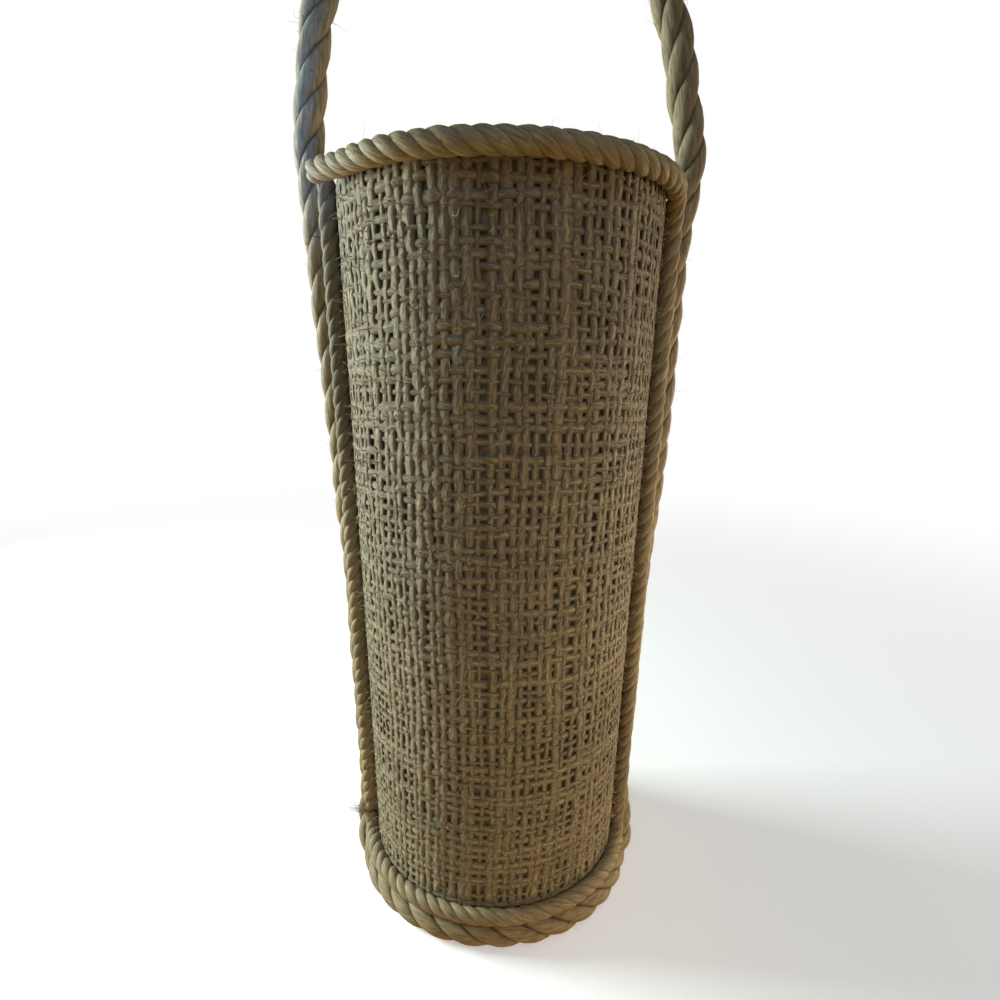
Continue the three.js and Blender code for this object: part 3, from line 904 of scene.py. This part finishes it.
def turnedCloth(name, node, r, z, pucker):
    # Each profile point is carried round the axis; the pucker moves it along the radius or up
    around, rows, phase = lining["around"], len(r), lining["phase"]
    turn = np.linspace(0, 2 * math.pi, around, endpoint=False)
    waves = sum(np.sin(k * turn + dice.random() * phase) / k**0.5 for k in lining["ripples"])[:, None]
    waves = waves * np.sin(np.linspace(0, lining["climb"], rows) + dice.random() * phase)[None]
    points = onWall(turn[:, None], z[None] + pucker[1] * waves, r[None] + pucker[0] * waves)
    ids = np.arange(around * rows).reshape(around, rows)
    after, upper = np.roll(ids, -1, axis=0), np.roll(ids, -1, axis=1)
    quads = np.stack([ids, after, np.roll(after, -1, axis=1), upper], axis=-1).reshape(-1, 4)
    run = np.concatenate([[0], np.cumsum(np.hypot(np.diff(r), np.diff(z)))])
    lap = np.arange(around + 1) * (2 * math.pi * r.max() / around)
    u0, u1 = lap[:-1, None], lap[1:, None]
    u = np.broadcast_to(np.stack([u0, u1, u1, u0], axis=-1), (around, rows, 4))
    v0, v1 = run, np.append(run[1:], run[-1] + lining["thickness"])
    v = np.broadcast_to(np.stack([v0, v0, v1, v1], axis=-1)[None], (around, rows, 4))
    piece = putMesh(name, points.reshape(-1, 3), quads, [], np.stack([u, v], axis=-1), {}, calico)
    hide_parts(node)
    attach(piece, "bag")
    return piece


def makeLining():
    low, high = liningBox[0][2], liningBox[1][2]
    inner, outer = lining["inner"], lining["inner"] + lining["thickness"]
    z = np.linspace(high, low, lining["rows"])
    r = np.concatenate([0 * z + inner, 0 * z + outer])
    z = np.concatenate([z, z[::-1]])
    sleeve = turnedCloth("liningSleeve", "lining_sleeve", r, z, (lining["pucker"], 0))
    low, high = floorBox[0][2], floorBox[1][2]
    reach = floorBox[1][0]
    out = np.linspace(lining["floorHole"], reach, lining["floorRows"])
    r = np.concatenate([out[::-1], out])
    z = np.concatenate([0 * out + high, 0 * out + low])
    disc = turnedCloth("liningFloor", "lining_floor", r, z, (0, lining["floorPucker"]))


makeLining()
print("lining made")


# The board parts keep their solids and get the board finish

for node in ("tube_core", "base_board"):
    solid = frame["nodes"][node]
    solid.data.materials.clear()
    solid.data.materials.append(board)


# Loose fibres: short curved hairs on the ropes and the burlap

def hairs(name, roots, normals, amount, body, points=5, sides=3):
    # Each hair bends over: root + length * (t * away + t^2 * droop + a sideways curl)
    count, length, radius, spread = amount
    shortest, longer, longFew = 0.35, 0.9, 1.5  # a hair's length as shares, and how few are long
    ahead, droop, curl, curlTurn, thins = 0.8, 0.7, 0.25, 5, 0.7
    clear, rise, lowestZ = 0.5, 0.1, 0.0003  # how it keeps off what it grows on, and off the ground
    pick = dice.integers(0, len(roots), count)
    away = unit(normals[pick] + spread * dice.standard_normal((count, 3)))
    lean = unit(dice.standard_normal((count, 3)))
    t = np.linspace(0, 1, points)[None, :, None]
    size = length * (shortest + longer * dice.random((count, 1, 1)) ** longFew)
    aside = np.cross(away, lean)[:, None]
    bent = t * away[:, None] * ahead + t**2 * lean[:, None] * droop + curl * np.sin(curlTurn * t) * aside
    path = roots[pick][:, None] + size * bent
    outward = normals[pick][:, None]
    above = ((path - path[:, :1]) * outward).sum(2, keepdims=True)
    kept = np.abs(above) * clear + rise * size * t - above * (above < 0)  # none goes back in
    path = path + outward * kept
    path[..., 2] = np.maximum(path[..., 2], lowestZ)
    thin = radius * (1 - thins * t[..., 0]) * np.ones((count, 1))
    facing = np.broadcast_to(lean[:, None] + 0.01, path.shape)
    piece = tubes(name, path, facing, thin, thin, sides, hairMaterial, dice.random(count))
    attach(piece, body)
    return piece


def surfaceOf(piece):
    # The outward points of a piece's tubes, and their normals
    mesh = piece.data
    crown, spots, normals = (np.empty(wide * len(mesh.vertices), np.float32) for wide in (1, 3, 3))
    mesh.attributes["crown"].data.foreach_get("value", crown)
    mesh.vertices.foreach_get("co", spots)
    mesh.vertex_normals.foreach_get("vector", normals)
    outer = crown > fuzz["crownAbove"]
    return [values.reshape(-1, 3)[outer].astype(float) for values in (spots, normals)]


hairDark = (0.42, 0.35, 0.23, 1)
# The loose fibres' painted groove shade is their own dark colour
hairFinish = dict(ropeFinish, dark=hairDark, light=(0.66, 0.57, 0.40, 1), paintedGrooveShade=hairDark)
hairMaterial = fibreMaterial("looseFibre", hairFinish)
fuzz = {  # how many, the length and radius in metres, and the scatter about the outward direction
    "trims": (700, 0.0018, 0.000045, 0.55), "carrying": (400, 0.0022, 0.00005, 0.55),
    "handle": (200, 0.0022, 0.00005, 0.55), "burlap": (4600, 0.0022, 0.00016, 1.6),
    "tuft": (190, 0.0038, 0.00007, 0.55), "tuftRoots": 40, "tuftWide": 0.0012, "tuftOut": 0.6, "tuftUp": 0.2,
    "crownAbove": 0.7, "handleAbove": 0.028, "burlapBelow": 0.008, "burlapDeep": 0.0005,  # where hairs grow
}


def makeFuzz():
    pieces = bpy.data.objects
    for label, names, body in (
        ("trims", ("frontTrim", "frontTrimLeft", "rearTrim"), "bag"),
        ("carrying", ("carryingRope", "rearBaseRope"), "bag"),
        ("handle", ("handleArch",), "handle"),
        ("burlap", ("frontBurlapUprights", "frontBurlapLevels", "rearBurlapUprights"), "bag"),
    ):
        roots, normals = (np.concatenate(a) for a in zip(*(surfaceOf(pieces[n]) for n in names)))
        if label == "handle":
            above = roots[:, 2] > pivotZ + fuzz["handleAbove"]
            roots, normals = roots[above], normals[above]
        if label == "burlap":
            onOutside = np.hypot(roots[:, 0], roots[:, 1]) > coverRadius - fuzz["burlapDeep"]
            outside = (roots[:, 2] < rimZ - fuzz["burlapBelow"]) & onOutside
            roots, normals = roots[outside], normals[outside]
        hairs(label + "Fibres", roots, normals, fuzz[label], body)
    jointZ = trimFootZ + ropes["footRadius"] + trimRadius
    turn, many = np.array([-trimTurn]), fuzz["tuftRoots"]
    spot = onWall(turn, np.array([jointZ]), trimPath + trimRadius * fuzz["tuftOut"])
    out = onWall(turn, np.array([fuzz["tuftUp"]]), 1.0)
    roots = spot + fuzz["tuftWide"] * dice.standard_normal((many, 3))
    hairs("jointTuft", roots, np.repeat(out, many, axis=0), fuzz["tuft"], "bag")


makeFuzz()
print("loose fibres made")


# The floor, the light and the white surround

studio = {
    "floorSize": 16.0, "floorPale": (0.90, 0.90, 0.89, 1), "floorBounce": (0.40, 0.25, 0.11, 1),
    "floorGlow": (1.0, 0.54, 0.12, 1), "thrown": (0.06, 0.55, 0.25, 0.02),  # near, far, strong, weak
    "nearGlow": 0.36, "whiteFrom": 0.05, "whiteAt": 0.9,
    "surround": (1.0, 0.95, 0.84, 1), "surroundStrength": 0.225,
}
lamps = {  # spot, aim, size, cone in degrees for a spot light, power, colour
    "window": ((-0.62, 0.15, 0.27), (0, 0, 0.17), 0.26, None, 8.5, (0.82, 0.98, 0.96)),
    "rear": ((1.02, 0.62, 0.06), (0, 0, 0.07), 0.2, 23, 74, (1.0, 0.90, 0.74)),
    "side": ((0.85, -0.35, 0.05), (0.05, 0, 0.085), 0.12, 20, 31, (1.0, 0.80, 0.56)),
    "foot": ((0.22, -0.58, 0.42), (0.022, -0.05, -0.015), 0.06, 18, 3.0, (1.0, 0.70, 0.34)),
    "sky": ((-0.17, -0.12, 0.215), (-0.057, 0, 0.274), 0.02, 30, 1.3, (0.10, 0.34, 1.0)),
    "front": ((-0.03, -0.25, 0.43), (0, -0.04, 0.24), 0.16, None, 0.13, (0.16, 0.50, 1.0)),
}


def makeLight(name, spot, aim, size, cone, power, colour):
    lamp = bpy.data.lights.new(name, "SPOT" if cone else "AREA")
    lamp.energy, lamp.color = power, colour
    if cone:
        lamp.spot_size, lamp.spot_blend, lamp.shadow_soft_size = math.radians(cone), 1.0, size
    else:
        lamp.size = size
    back = unit(np.array(spot) - np.array(aim))
    right = unit(np.cross([0, 0, 1.0], back))
    stand(name, lamp, right, np.cross(back, right), back, spot)


def floorMaterial():
    # Seen directly it is pale and white far off; what it throws on the bag is warmer and dimmer
    material = bpy.data.materials.new("paleFloor")
    material.use_nodes = True
    tree = material.node_tree
    tree.nodes.remove(tree.nodes["Principled BSDF"])
    spot = nodeIn(tree, "TexCoord")["Object"]
    away = nodeIn(tree, "VectorMath", {0: spot}, operation="LENGTH")["Value"]
    far = ranged(tree, away, studio["whiteFrom"], studio["whiteAt"], ease="SMOOTHSTEP")
    pale = nodeIn(tree, "BsdfDiffuse", {"Color": studio["floorPale"]})
    glow = nodeIn(tree, "Emission", {"Color": white, "Strength": studio["nearGlow"]})
    near = nodeIn(tree, "AddShader", {0: pale[0], 1: glow[0]})
    bright = nodeIn(tree, "Emission", {"Color": white, "Strength": 1.0})
    seen = nodeIn(tree, "MixShader", {0: far, 1: near[0], 2: bright[0]})
    thrown = ranged(tree, away, *studio["thrown"])
    warm = nodeIn(tree, "Emission", {"Color": studio["floorGlow"], "Strength": thrown})
    dim = nodeIn(tree, "BsdfDiffuse", {"Color": studio["floorBounce"]})
    bounce = nodeIn(tree, "AddShader", {0: dim[0], 1: warm[0]})
    rays = nodeIn(tree, "LightPath")["Is Camera Ray"]
    both = nodeIn(tree, "MixShader", {0: rays, 1: bounce[0], 2: seen[0]})
    tree.links.new(both[0], tree.nodes["Material Output"].inputs[0])
    return material


def makeStudio():
    half = studio["floorSize"] / 2
    points = np.array([[-half, -half, 0], [half, -half, 0], [half, half, 0], [-half, half, 0]])
    floor = putMesh("floor", points, np.array([[0, 1, 2, 3]]), [], None, {}, floorMaterial(), False)
    for name, lamp in lamps.items():
        makeLight(name + "Light", *lamp)
    world = bpy.data.worlds.new("surround")
    bpy.context.scene.world = world
    world.use_nodes = True
    tree = world.node_tree
    light = tree.nodes["Background"]
    light.inputs[0].default_value = studio["surround"]
    light.inputs[1].default_value = studio["surroundStrength"]
    seen = nodeIn(tree, "Background", {0: white, 1: 1.0})
    rays = nodeIn(tree, "LightPath")["Is Camera Ray"]
    both = nodeIn(tree, "MixShader", {0: rays, 1: light.outputs[0], 2: seen[0]})
    tree.links.new(both[0], tree.nodes["World Output"].inputs[0])


makeStudio()
print("studio made")
